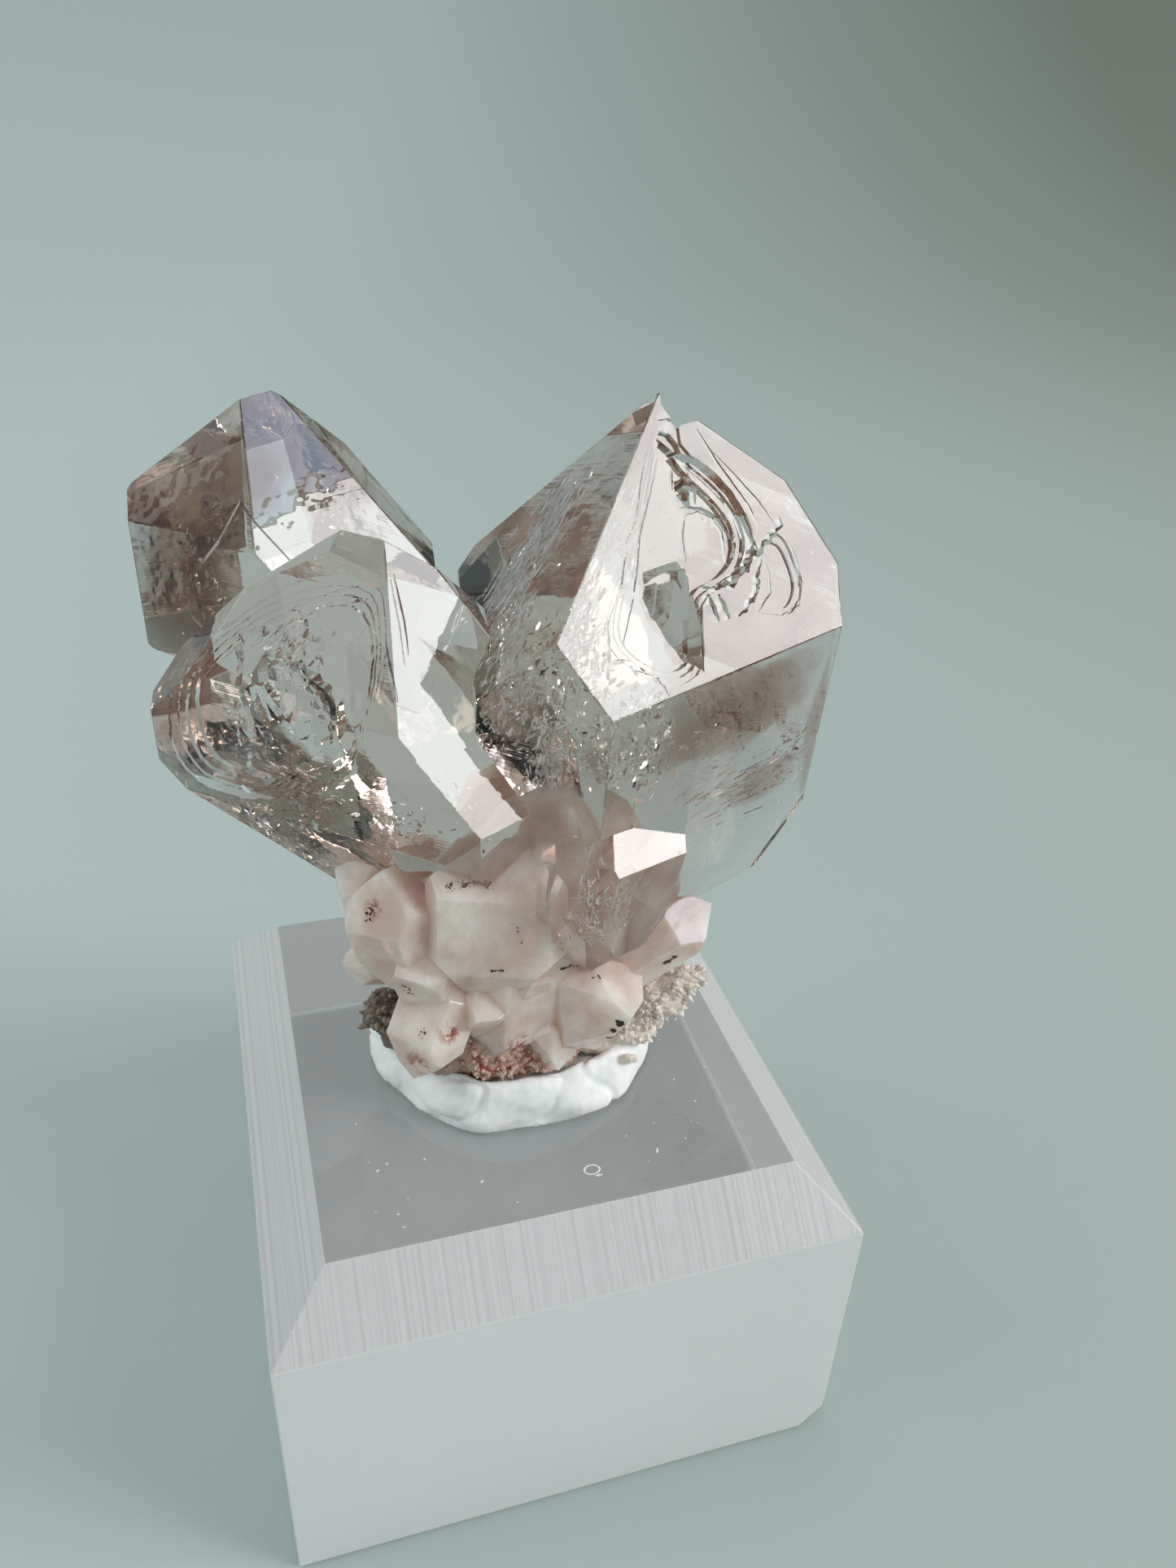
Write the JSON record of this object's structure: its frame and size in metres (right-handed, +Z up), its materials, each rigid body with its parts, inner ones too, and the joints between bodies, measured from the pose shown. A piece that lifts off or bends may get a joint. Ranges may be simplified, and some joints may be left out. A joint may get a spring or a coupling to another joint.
{
  "type": "fenster quartz cluster",
  "caption": "Cluster of clear smoky quartz crystals with hollowed window faces on pinkish base crystals, pressed into white putty on a clear bevelled display block.",
  "frame": {"origin": "middle of the block's underside", "axes": "+Z up from the block's underside to the crystal points; -Y to the front, where the window faces look; +X to the right, towards the largest crystal"},
  "size_m": [0.0423, 0.0406, 0.0704],
  "materials": {
    "quartz": "clear, lightly smoky quartz, glassy faces, cloudy and pinkish in the base crystals",
    "matrix": "rough buff-white druse and matrix with rust-red stains, matt",
    "putty": "white mounting putty, matt, finger-smoothed",
    "acrylic": "clear cast acrylic, polished top, satin bevels and sides with fine saw marks"
  },
  "bodies": {
    "root": {"quartz_cluster": "quartz", "matrix_crust": "matrix", "mounting_putty": "putty", "acrylic_block": "acrylic"}
  },
  "joints": []
}
